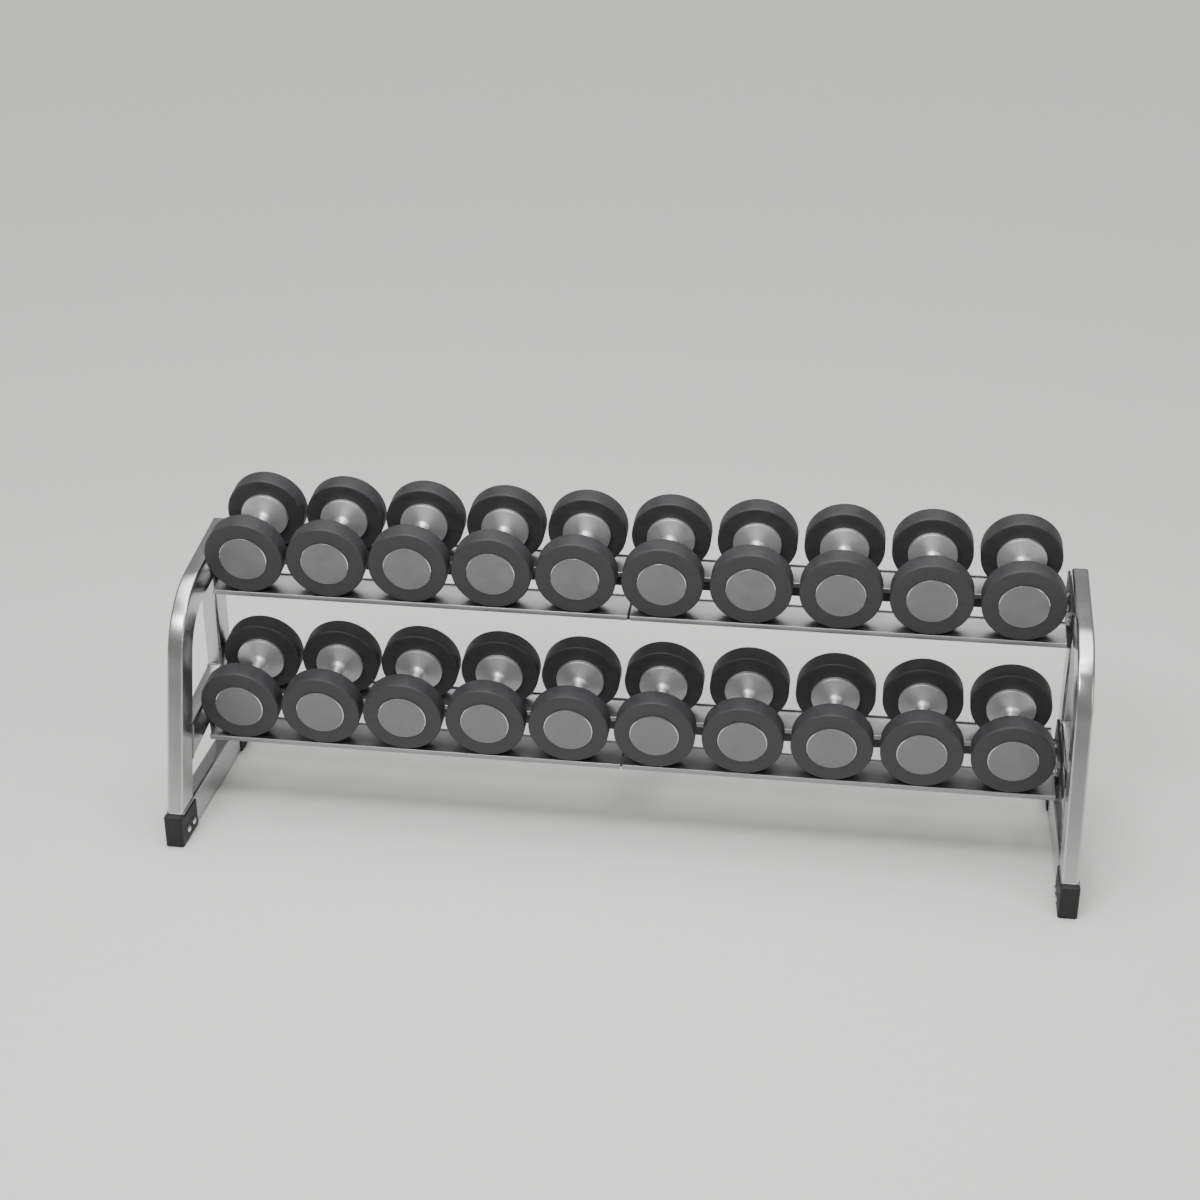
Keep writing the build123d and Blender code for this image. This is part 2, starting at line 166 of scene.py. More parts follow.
def rack_sizes():
    return bpy.context.scene.rack_sizes


def dumbbell_sizes():
    return bpy.context.scene.dumbbell_sizes


# ---- places taken from the frame -------------------------------------------------
def dumbbell_name(tier, number):
    return f"{tier}_dumbbell_{number:02d}"


def dumbbell_numbers():
    """Numbers of the dumbbells on one tier, from the left."""
    count = sum(name.startswith("top_dumbbell") and name.endswith("_bar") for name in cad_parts)
    return range(1, count + 1)


def box_middle(node):
    low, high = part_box(node)
    return (low + high) / 2


def tier_axes():
    """Unit vectors back along a tier and off it."""
    tilt = rack_sizes().tilt
    return Vector((0, cos(tilt), sin(tilt))), Vector((0, -sin(tilt), cos(tilt)))


def tier_point(tier, s, h, x=0.0):
    """A point of a tier, from the front disc centres of its dumbbells."""
    along, off = tier_axes()
    middle = box_middle(dumbbell_name(tier, 1) + "_bar")
    start = Vector((0, middle.y, middle.z)) - along * (dumbbell_sizes().overall / 2)
    return start + along * s + off * h + Vector((x, 0, 0))


def dumbbell_place(tier, number):
    """Matrix that carries a piece turned about Z to its dumbbell's place."""
    along, off = tier_axes()
    x = box_middle(dumbbell_name(tier, number) + "_bar").x
    across = off.cross(along)
    place = Matrix((across, off, along)).transposed().to_4x4()
    place.translation = tier_point(tier, 0, 0, x)
    return place


# ---- modelling tools -------------------------------------------------------------
def deselect():
    """Leaves edit mode and selects nothing, so that an operator acts on one piece only."""
    if bpy.context.object and bpy.context.object.mode != "OBJECT":
        bpy.ops.object.mode_set(mode="OBJECT")
    bpy.ops.object.select_all(action="DESELECT")


def pick(piece):
    """Makes one piece the active and only selected one."""
    deselect()
    piece.select_set(True)
    bpy.context.view_layer.objects.active = piece


def edit(piece, mode="FACE"):
    pick(piece)
    bpy.ops.object.mode_set(mode="EDIT")
    bpy.ops.mesh.select_mode(type=mode)
    bpy.ops.mesh.select_all(action="DESELECT")


def select_where(piece, kind, test):
    """Selects the faces or edges of the piece in edit mode whose middle passes a test."""
    mesh = bmesh.from_edit_mesh(piece.data)
    for item in getattr(mesh, kind):
        middle = sum((v.co for v in item.verts), Vector()) / len(item.verts)
        item.select_set(bool(test(middle, item)))
    mesh.select_flush_mode()
    bmesh.update_edit_mesh(piece.data)


def finish_piece(piece, name, material, smooth_angle):
    """Names a piece, welds and faces its shell, shades it and leaves it at the origin."""
    pick(piece)
    bpy.ops.object.mode_set(mode="EDIT")
    bpy.ops.mesh.select_all(action="SELECT")
    bpy.ops.mesh.remove_doubles(threshold=1e-6)
    bpy.ops.mesh.normals_make_consistent(inside=False)
    bpy.ops.object.mode_set(mode="OBJECT")
    bpy.ops.object.transform_apply(location=True, rotation=True, scale=True)
    bpy.ops.object.shade_smooth_by_angle(angle=radians(smooth_angle))
    piece.name = piece.data.name = name
    piece.data.materials.clear()
    piece.data.materials.append(material)
    deselect()
    return piece


def copy_piece(piece, name, place):
    """A copy with its own mesh, carried to its place."""
    twin = piece.copy()
    twin.data = piece.data.copy()
    twin.data.transform(place)
    twin.name = twin.data.name = name
    bpy.context.scene.collection.objects.link(twin)
    return twin


def drop_master(piece):
    bpy.data.objects.remove(piece, do_unlink=True)


def arc(centre, radius, start, end, steps):
    """Stations (s, r) of an arc about a centre, from one angle to another."""
    turns = [start + (end - start) * i / steps for i in range(steps + 1)]
    return [(centre[0] + radius * cos(a), centre[1] + radius * sin(a)) for a in turns]


def turn_piece(stations):
    """Turns an outline of (s, r) about Z: a disc is extruded and resized from station to station."""
    deselect()
    at, radius = stations[0]
    bpy.ops.mesh.primitive_circle_add(vertices=dumbbell_sizes().around, radius=radius,
                                      fill_type="NGON", location=(0, 0, at))
    bpy.ops.object.transform_apply(location=True)
    piece = bpy.context.object
    bpy.ops.object.mode_set(mode="EDIT")
    bpy.ops.mesh.select_all(action="SELECT")
    for s, r in stations[1:]:
        bpy.ops.mesh.extrude_region_move(TRANSFORM_OT_translate={"value": (0, 0, s - at)})
        grow = r / radius
        bpy.ops.transform.resize(value=(grow, grow, 1), center_override=(0, 0, s))
        at, radius = s, r
    bpy.ops.object.mode_set(mode="OBJECT")
    return piece


def add_far_end(piece):
    """Doubles a piece of one end of the dumbbell, turned round to the other end."""
    edit(piece)
    bpy.ops.mesh.select_all(action="SELECT")
    bpy.ops.mesh.duplicate()
    middle = (0, 0, dumbbell_sizes().overall / 2)
    bpy.ops.transform.rotate(value=pi, orient_axis="X", center_override=middle)
    bpy.ops.object.mode_set(mode="OBJECT")


def turned_uv(piece):
    """UV map of a turned piece: U runs out along its outline and V once round it."""
    half = dumbbell_sizes().overall / 2
    layer = piece.data.uv_layers.new(name="turning")
    for polygon in piece.data.polygons:
        first = None
        for loop in polygon.loop_indices:
            co = piece.data.vertices[piece.data.loops[loop].vertex_index].co
            share = atan2(co.y, co.x) / (2 * pi)
            first = share if first is None else first
            share -= round(share - first)
            layer.data[loop].uv = (abs(co.z - half) + hypot(co.x, co.y), share)


# ---- tubes -----------------------------------------------------------------------
def middle_line(points, bend):
    """A tube's middle line through (y, z) points, as straights and one kind of bend."""
    corners = [Vector(p) for p in points]
    line, start = [], corners[0]
    for before, corner, after in zip(corners, corners[1:], corners[2:]):
        a, b = (corner - before).normalized(), (after - corner).normalized()
        turn = acos(max(-1, min(1, a.dot(b))))
        side = 1 if a.x * b.y - a.y * b.x > 0 else -1
        reach = bend * tan(turn / 2)
        bend_start = corner - a * reach
        line.append({"kind": "straight", "start": start, "way": a, "length": (bend_start - start).length})
        centre = bend_start + Vector((-a.y, a.x)) * side * bend
        line.append({"kind": "bend", "start": bend_start, "way": a, "centre": centre, "turn": turn,
                     "side": side, "length": bend * turn})
        start = corner + b * reach
    way = (corners[-1] - start).normalized()
    line.append({"kind": "straight", "start": start, "way": way, "length": (corners[-1] - start).length})
    return line


def unroll(point, line, bend):
    """Where a (y, z) point lies along and beside a tube's middle line."""
    run = 0.0
    for part in line:
        away = point - part["start"]
        way = part["way"]
        normal = Vector((-way.y, way.x))
        last = part is line[-1]
        if part["kind"] == "straight":
            along = away.dot(way)
            if along <= part["length"] or last:
                return run + along, away.dot(normal)
        else:
            arm = point - part["centre"]
            spoke = part["start"] - part["centre"]
            angle = part["side"] * atan2(spoke.x * arm.y - spoke.y * arm.x, spoke.dot(arm))
            if angle <= part["turn"]:
                return run + angle * bend, part["side"] * (bend - arm.length)
        run += part["length"]
    return run, 0.0


def tube_piece(points, bend, across):
    """A rounded rectangular tube: its section is extruded along straights and spun round bends.

    points are (y, z) of its middle line, and across its middle's x.
    """
    sizes = rack_sizes()
    line = middle_line(points, bend)
    first = line[0]
    deselect()
    turn = atan2(-first["way"].x, first["way"].y)
    place = (across, first["start"].x, first["start"].y)
    bpy.ops.mesh.primitive_plane_add(size=1, location=place, rotation=(turn, 0, 0))
    tube = bpy.context.object
    tube.scale = (FRAME_HIGH.x - FRAME_LOW.x, sizes.tube_depth, 1)
    bpy.ops.object.transform_apply(location=True, rotation=True, scale=True)
    edit(tube, "VERT")
    bpy.ops.mesh.select_all(action="SELECT")
    bpy.ops.mesh.bevel(offset=sizes.tube_corner, segments=TUBE_CORNER_SEGMENTS,
                       affect="VERTICES", profile=0.5)
    bpy.ops.mesh.select_mode(type="FACE")
    bpy.ops.mesh.select_all(action="SELECT")
    for part in line:
        if part["kind"] == "straight":
            move = part["way"] * part["length"]
            bpy.ops.mesh.extrude_region_move(TRANSFORM_OT_translate={"value": (0, move.x, move.y)})
        else:
            centre = (across, part["centre"].x, part["centre"].y)
            turn = -part["side"] * part["turn"]     # the operator turns clockwise
            bpy.ops.mesh.spin(steps=BEND_STEPS, angle=turn, center=centre, axis=(1, 0, 0))
    bpy.ops.object.mode_set(mode="OBJECT")
    return tube, line


def cut_tube(tube, at, normal):
    """Cuts a tube square or on the slant and closes its end. The side that normal points at goes."""
    edit(tube)
    bpy.ops.mesh.select_all(action="SELECT")
    bpy.ops.mesh.bisect(plane_co=at, plane_no=normal, clear_outer=True, use_fill=True)
    bpy.ops.object.mode_set(mode="OBJECT")


def tube_grain(tube, line, bend, across):
    """Gives a tube its straightened space, for brushing, and a UV map across the brushing."""
    mesh = tube.data
    space = mesh.attributes.new("tube_space", "FLOAT_VECTOR", "POINT")
    for vertex, value in zip(mesh.vertices, space.data):
        along, beside = unroll(Vector((vertex.co.y, vertex.co.z)), line, bend)
        value.vector = (vertex.co.x - across, beside, along)
    layer = mesh.uv_layers.new(name="grain")
    places = [value.vector.copy() for value in space.data]
    for polygon in mesh.polygons:
        sideways = abs(polygon.normal.x) > 0.5
        for loop in polygon.loop_indices:
            place = places[mesh.loops[loop].vertex_index]
            layer.data[loop].uv = (place.y if sideways else place.x, place.z)


def leg_y(z, behind):
    """y of a line in the front leg, a distance behind its front face."""
    sizes = rack_sizes()
    return sizes.foot_y + (z - BOOT_TOP) * tan(sizes.lean) + behind / cos(sizes.lean)


def bow_corner():
    """(y, z) where the middle lines of the front leg and of the top run would cross."""
    sizes = rack_sizes()
    run = tier_point("top", 0, -sizes.run_drop - sizes.tube_depth / 2)
    slope = tan(sizes.tilt)
    gap = leg_y(run.z, sizes.tube_depth / 2) - run.y
    y = run.y + gap / (1 - slope * tan(sizes.lean))
    return y, run.z + (y - run.y) * slope


def side_frame_tubes(across):
    """The four tubes of one side frame, as (name, tube)."""
    sizes = rack_sizes()
    depth = sizes.tube_depth
    bend = sizes.bend_outside - depth / 2
    _, off = tier_axes()
    base_top = BOOT_TOP
    middle = -sizes.run_drop - depth / 2
    made = []

    foot = (leg_y(base_top - OVERRUN, depth / 2), base_top - OVERRUN)
    end = tier_point("top", sizes.run_end, middle)
    tube, line = tube_piece([foot, bow_corner(), (end.y, end.z)], bend, across)
    cut_tube(tube, (across, 0, base_top), (0, 0, -1))
    made.append(("bow", tube, line))

    under_run = tier_point("top", 0, middle - depth / 2)
    rear = [(sizes.rear_leg_y, base_top), (sizes.rear_leg_y, FRAME_HIGH.z + OVERRUN)]
    tube, line = tube_piece(rear, bend, across)
    cut_tube(tube, (across, under_run.y, under_run.z), off)
    made.append(("rear_leg", tube, line))

    ends = [tier_point("lower", s, middle) for s in RUNG_DRAWN]
    tube, line = tube_piece([(end.y, end.z) for end in ends], bend, across)
    cut_tube(tube, (across, sizes.rear_leg_y - depth / 2, 0), (0, 1, 0))
    leg_back = (across, leg_y(base_top, depth), base_top)
    cut_tube(tube, leg_back, (0, -cos(sizes.lean), sin(sizes.lean)))
    made.append(("rung", tube, line))

    base = [(FRAME_LOW.y, base_top - depth / 2), (FRAME_HIGH.y, base_top - depth / 2)]
    tube, line = tube_piece(base, bend, across)
    made.append(("base_rail", tube, line))
    for _, tube, line in made:
        tube_grain(tube, line, bend, across)
    return [(name, tube) for name, tube, _ in made]


def weld_bead(name, middle, way, reach, across, material):
    """A rippled bead round the end of a tube. way is the long way of its joint."""
    sizes = rack_sizes()
    half = (FRAME_HIGH.x - FRAME_LOW.x) / 2
    corner = sizes.tube_corner
    outline = []
    for number, (a, b) in enumerate(((1, 1), (-1, 1), (-1, -1), (1, -1))):
        centre = (a * (half - corner), b * (reach - corner))
        start = number * pi / 2
        outline += arc(centre, corner, start, start + pi / 2, TUBE_CORNER_SEGMENTS)
    loop = []
    for (x0, d0), (x1, d1) in zip(outline, outline[1:] + outline[:1]):
        steps = max(1, round(hypot(x1 - x0, d1 - d0) / RIPPLE_PITCH))
        loop += [(x0 + (x1 - x0) * i / steps, d0 + (d1 - d0) * i / steps) for i in range(steps)]
    deselect()
    bpy.ops.curve.primitive_bezier_circle_add(location=(0, 0, 0))
    bead = bpy.context.object
    curve = bead.data
    curve.splines.clear()
    spline = curve.splines.new("POLY")
    spline.points.add(len(loop) - 1)
    for number, (point, (x, d)) in enumerate(zip(spline.points, loop)):
        at = Vector(middle) + Vector(way) * d
        point.co = (across + x, at.y, at.z, 1)
        point.radius = 1 if number % 2 else RIPPLE_DIP
    spline.use_cyclic_u = True
    curve.bevel_depth = sizes.weld_size
    curve.bevel_resolution = 2
    bpy.ops.object.convert(target="MESH")
    return finish_piece(bpy.context.object, name, material, 60)


# ---- materials -------------------------------------------------------------------
def add_node(tree, kind, settings=None, links=None):
    """Adds a node, sets its values and properties, and links its inputs to sockets or first outputs."""
    node = tree.nodes.new(kind)
    for name, value in (settings or {}).items():
        if isinstance(name, int) or name in node.inputs:
            node.inputs[name].default_value = value
        else:
            setattr(node, name, value)
    for name, source in (links or {}).items():
        socket = source.outputs[0] if isinstance(source, bpy.types.Node) else source
        tree.links.new(socket, node.inputs[name])
    return node


def start_material(name):
    material = bpy.data.materials.new(name)
    material.use_nodes = True
    material.node_tree.nodes.clear()
    return material, material.node_tree


def close_material(tree, settings, links):
    """Ends a material in its shader. Values that are the same all over are set on the shader itself."""
    shader = add_node(tree, "ShaderNodeBsdfPrincipled", settings, links)
    add_node(tree, "ShaderNodeOutputMaterial", links={"Surface": shader})


def opaque(rgb):
    return (*rgb, 1.0)


def scaled(rgb, factor):
    return opaque([min(1.0, c * factor) for c in rgb])


def object_pattern(tree, scale, detail, stretch=(1, 1, 1)):
    """A cloudy pattern on the piece's own metres. scale is per metre, stretched along the axes."""
    place = add_node(tree, "ShaderNodeTexCoord")
    mapping = add_node(tree, "ShaderNodeMapping", {"Scale": stretch}, {"Vector": place.outputs["Object"]})
    return add_node(tree, "ShaderNodeTexNoise", {"Scale": scale, "Detail": detail}, {"Vector": mapping})


def spread(low, high):
    """Settings that spread a noise texture's values over a range of numbers."""
    return {"From Min": NOISE_LOW, "From Max": NOISE_HIGH, "To Min": low, "To Max": high}


def between(base, dark, light):
    """Settings that mix a colour from darker to lighter than its base."""
    return {"data_type": "RGBA", 6: scaled(base, dark), 7: scaled(base, light)}


def moulded_urethane():
    """Cast urethane over iron: charcoal, matt, with a fine stipple and faint handling marks."""
    material, tree = start_material("moulded_urethane")
    marks = object_pattern(tree, 28.0, 5.0, (1, 1, 2.5))
    stipple = object_pattern(tree, 1 / (1.4 * MM), 2.0)
    level = add_node(tree, "ShaderNodeMapRange", spread(0, 1), {"Value": marks})
    base = bpy.context.scene.rack_colours.urethane
    shade = add_node(tree, "ShaderNodeMix", between(base, 0.82, 1.28), {0: level})
    rough = add_node(tree, "ShaderNodeMapRange", spread(0.5, 0.66), {"Value": marks})
    bump = add_node(tree, "ShaderNodeBump", {"Strength": 0.22, "Distance": 0.15 * MM}, {"Height": stipple})
    close_material(tree, {"IOR": 1.5}, {"Base Color": shade.outputs[2], "Roughness": rough, "Normal": bump})
    return material


def knurling(tree, out, round_it, height):
    """Adds the grip's knurling to a height: two hands of grooves cross in diamonds."""
    sizes = dumbbell_sizes()
    pitch, starts = 1.6 * MM, 55
    lead = add_node(tree, "ShaderNodeMath", {"operation": "MULTIPLY", 1: 2 * pi / pitch}, {0: out})
    turn = add_node(tree, "ShaderNodeMath", {"operation": "MULTIPLY", 1: 2 * pi * starts}, {0: round_it})
    hands = []
    for hand in ("ADD", "SUBTRACT"):
        phase = add_node(tree, "ShaderNodeMath", {"operation": hand}, {0: lead, 1: turn})
        wave = add_node(tree, "ShaderNodeMath", {"operation": "SINE"}, {0: phase})
        hands.append(add_node(tree, "ShaderNodeMath", {"operation": "ABSOLUTE"}, {0: wave}))
    diamonds = add_node(tree, "ShaderNodeMath", {"operation": "MINIMUM"}, {0: hands[0], 1: hands[1]})
    knurl_end = sizes.grip_radius + sizes.knurl_reach
    zone = add_node(tree, "ShaderNodeMath", {"operation": "LESS_THAN", 1: knurl_end}, {0: out})
    knurl = add_node(tree, "ShaderNodeMath", {"operation": "MULTIPLY"}, {0: diamonds, 1: zone})
    deep = add_node(tree, "ShaderNodeMath", {"operation": "MULTIPLY", 1: 3.0}, {0: knurl})
    return add_node(tree, "ShaderNodeMath", {"operation": "ADD"}, {0: height, 1: deep})


def turned_steel(name, base, roughness, anisotropy, knurled):
    """Steel turned on a lathe: fine rings round the axis draw its shine out into radial fans."""
    material, tree = start_material(name)
    uv = add_node(tree, "ShaderNodeUVMap", {"uv_map": "turning"})
    split = add_node(tree, "ShaderNodeSeparateXYZ", links={"Vector": uv})
    out, round_it = split.outputs["X"], split.outputs["Y"]
    ring_pitch = 0.9 * MM     # a real feed is a third of this, too fine to show
    feed = add_node(tree, "ShaderNodeMath", {"operation": "MULTIPLY", 1: 1 / ring_pitch}, {0: out})
    rings = add_node(tree, "ShaderNodeTexNoise", {"noise_dimensions": "1D", "Scale": 1.0, "Detail": 2.0},
                     {"W": feed})
    height = add_node(tree, "ShaderNodeMath", {"operation": "MULTIPLY", 1: 0.35}, {0: rings})
    if knurled:
        height = knurling(tree, out, round_it, height)
    bump = add_node(tree, "ShaderNodeBump", {"Strength": 0.25, "Distance": 0.12 * MM}, {"Height": height})
    wear = object_pattern(tree, 35.0, 4.0)
    rough = add_node(tree, "ShaderNodeMapRange", spread(roughness - 0.05, roughness + 0.07), {"Value": wear})
    shade = add_node(tree, "ShaderNodeMix", between(base, 0.9, 1.06), {0: rings})
    tangent = add_node(tree, "ShaderNodeTangent", {"direction_type": "UV_MAP", "uv_map": "turning"})
    close_material(tree, {"Metallic": 1.0, "Anisotropic": anisotropy},
                   {"Base Color": shade.outputs[2], "Roughness": rough, "Normal": bump, "Tangent": tangent})
    return material


def turned_handle_steel():
    """Turned steel with a knurled grip: pale, satin, bright where the neck curves."""
    return turned_steel("turned_handle_steel", bpy.context.scene.rack_colours.handle, 0.5, 0.3, True)


def faced_disc_steel():
    """Steel faced flat on a lathe: a grey satin disc with faint rings."""
    return turned_steel("faced_disc_steel", bpy.context.scene.rack_colours.disc, 0.4, 0.45, False)


def brushed_stainless_tube():
    """Stainless tube brushed along its length: a soft bright band across each face."""
    material, tree = start_material("brushed_stainless_tube")
    base = bpy.context.scene.rack_colours.tube
    space = add_node(tree, "ShaderNodeAttribute", {"attribute_name": "tube_space"})
    scratch_width, scratch_length = 0.7 * MM, 90 * MM    # a real scratch is a fifth as wide
    scale = (1 / scratch_width, 1 / scratch_width, 1 / scratch_length)
    mapping = add_node(tree, "ShaderNodeMapping", {"Scale": scale}, {"Vector": space.outputs["Vector"]})
    grain = add_node(tree, "ShaderNodeTexNoise", {"Scale": 1.0, "Detail": 3.0}, {"Vector": mapping})
    smudge = object_pattern(tree, 9.0, 3.0)
    rough = add_node(tree, "ShaderNodeMapRange", spread(0.2, 0.29), {"Value": smudge})
    shade = add_node(tree, "ShaderNodeMix", between(base, 0.9, 1.08), {0: grain})
    bump = add_node(tree, "ShaderNodeBump", {"Strength": 0.12, "Distance": 0.06 * MM}, {"Height": grain})
    tangent = add_node(tree, "ShaderNodeTangent", {"direction_type": "UV_MAP", "uv_map": "grain"})
    close_material(tree, {"Metallic": 1.0, "Anisotropic": 0.55},
                   {"Base Color": shade.outputs[2], "Roughness": rough, "Normal": bump, "Tangent": tangent})
    return material


def satin_steel_sheet():
    """Rolled steel sheet with a satin face: drawn along the rail, lightly rubbed by the heads."""
    material, tree = start_material("satin_steel_sheet")
    base = bpy.context.scene.rack_colours.sheet
    grain = object_pattern(tree, 1 / (0.8 * MM), 2.0, (0.01, 1, 1))
    rub = object_pattern(tree, 22.0, 4.0)
    rough = add_node(tree, "ShaderNodeMapRange", spread(0.36, 0.48), {"Value": rub})
    shade = add_node(tree, "ShaderNodeMix", between(base, 0.9, 1.06), {0: grain})
    bump = add_node(tree, "ShaderNodeBump", {"Strength": 0.1, "Distance": 0.05 * MM}, {"Height": grain})
    close_material(tree, {"Metallic": 1.0},
                   {"Base Color": shade.outputs[2], "Roughness": rough, "Normal": bump})
    return material


def grained(name, base, metallic, roughness, grain_size, strength, drift=0.06, mottle=0.12):
    """A finish with one even grain and a slow drift: paint, rubber, nylon, zinc, weld or floor."""
    material, tree = start_material(name)
    cloud = object_pattern(tree, 30.0, 4.0)
    grain = object_pattern(tree, 1 / grain_size, 2.0)
    rough = add_node(tree, "ShaderNodeMapRange", spread(roughness - drift, roughness + drift),
                     {"Value": cloud})
    level = add_node(tree, "ShaderNodeMapRange", spread(0, 1), {"Value": cloud})
    shade = add_node(tree, "ShaderNodeMix", between(base, 1 - mottle, 1 + mottle), {0: level})
    bump = add_node(tree, "ShaderNodeBump", {"Strength": strength, "Distance": 0.2 * MM}, {"Height": grain})
    close_material(tree, {"Metallic": metallic},
                   {"Base Color": shade.outputs[2], "Roughness": rough, "Normal": bump})
    return material


def black_powder_coat():
    """Polyester powder coat: near black, half matt, with a 1.5 mm orange peel."""
    return grained("black_powder_coat", bpy.context.scene.rack_colours.coat, 0.0, 0.42, 1.5 * MM, 0.25)


def moulded_rubber():
    """Moulded black rubber: matt, with a coarse grain from the mould."""
    return grained("moulded_rubber", bpy.context.scene.rack_colours.rubber, 0.0, 0.62, 0.9 * MM, 0.35)


def moulded_nylon():
    """Injection-moulded nylon: black, half matt, finely textured."""
    return grained("moulded_nylon", bpy.context.scene.rack_colours.nylon, 0.0, 0.48, 0.7 * MM, 0.2)


def zinc_plate():
    """Bright zinc plate on steel: shiny, a little cloudy."""
    return grained("zinc_plate", bpy.context.scene.rack_colours.zinc, 1.0, 0.24, 2.5 * MM, 0.06)


def polished_steel_rim():
    """The bevel round an end disc, polished after facing, with a lower roughness, and given the bright zinc
    colour, lighter than the disc's, as a painted highlight.
    """
    return grained("polished_steel_rim", bpy.context.scene.rack_colours.zinc, 1.0, 0.2, 2 * MM, 0.04)


def brushed_weld():
    """A steel weld brushed clean: rippled and duller than the tube beside it."""
    return grained("brushed_weld", bpy.context.scene.rack_colours.weld, 1.0, 0.38, 1.2 * MM, 0.2)


def pale_floor():
    """Matt pale studio floor."""
    return grained("pale_studio_floor", bpy.context.scene.rack_colours.floor, 0.0, 0.75, 4 * MM, 0.04,
                   0.05, 0.015)


def shared_material(maker):
    """A material made on first use and shared after that."""
    return bpy.data.materials.get(maker.__name__) or maker()


def recoat(node, material):
    """Gives a CAD node its finish."""
    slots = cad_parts[node].material_slots
    if not slots:
        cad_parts[node].data.materials.append(material)
    for slot in slots:
        slot.material = material


# ---- operators -------------------------------------------------------------------
class RackOperator:
    """What the rack's operators share."""

    bl_options = {"REGISTER", "UNDO"}


class RACK_OT_side_frames(RackOperator, bpy.types.Operator):
    """Side frames: bow, rear leg, rung and base rail of brushed tube, with weld beads"""

    bl_idname = "rack.side_frames"
    bl_label = "Side Frames"

    def execute(self, context):
        sizes = rack_sizes()
        depth, base_top = sizes.tube_depth, BOOT_TOP
        steel, bead = shared_material(brushed_stainless_tube), shared_material(brushed_weld)
        along, off = tier_axes()
        middle = -sizes.run_drop - depth / 2
        for side, sign in (("left", -1), ("right", 1)):
            across = sign * (FRAME_LOW.x + FRAME_HIGH.x) / 2
            tubes = []
            for name, tube in side_frame_tubes(across):
                tubes.append(finish_piece(tube, f"{side}_{name}_tube", steel, 32))
            for tube in tubes:
                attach(tube, "rack")
            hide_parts(f"{side}_side_frame")

            straight = Vector((0, 1, 0))
            leg = Vector((0, sin(sizes.lean), cos(sizes.lean)))
            rear_front = sizes.rear_leg_y - depth / 2
            rung_z = tier_point("lower", 0, middle)
            rung_rear = rung_z + along * ((rear_front - rung_z.y) / along.y)
            back = Vector((0, leg_y(base_top, depth), base_top))
            to_leg = Vector((0, cos(sizes.lean), -sin(sizes.lean)))
            rung_front = rung_z + along * ((back - rung_z).dot(to_leg) / along.dot(to_leg))
            run = tier_point("top", 0, middle - depth / 2)
            rear_top = run + along * ((sizes.rear_leg_y - run.y) / along.y)
            foot = (0, leg_y(base_top, depth / 2), base_top)
            joints = (
                ("leg_weld", foot, straight, depth / 2 / cos(sizes.lean)),
                ("rear_weld", (0, sizes.rear_leg_y, base_top), straight, depth / 2),
                ("top_weld", rear_top, along, depth / 2 / cos(sizes.tilt)),
                ("rung_front_weld", rung_front, leg, depth / 2 / along.dot(to_leg)),
                ("rung_rear_weld", rung_rear, Vector((0, 0, 1)), depth / 2 / along.y),
            )
            for name, place, way, reach in joints:
                weld = weld_bead(f"{side}_{name}", place, way, reach, across, bead)
                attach(weld, "rack")
        return {"FINISHED"}


class RACK_OT_rails(RackOperator, bpy.types.Operator):
    """Eight rail halves, each folded from satin sheet with a skirt and a lip"""

    bl_idname = "rack.rails"
    bl_label = "Rails"

    def execute(self, context):
        along, off = tier_axes()
        across = off.cross(-along)
        turn = Matrix((across, along, off)).transposed().to_4x4()
        for side in RAIL_SIDES:
            master = folded_rail(side)
            for tier in TIERS:
                for half in HALVES:
                    node = f"{tier}_{side}_rail_{half}"
                    low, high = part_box(node)
                    place = turn.copy()
                    place.translation = tier_point(tier, 0, 0, (low.x + high.x) / 2)
                    rail = copy_piece(master, node + "_sheet", place)
                    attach(rail, "rack")
                    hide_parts(node)
            drop_master(master)
        return {"FINISHED"}


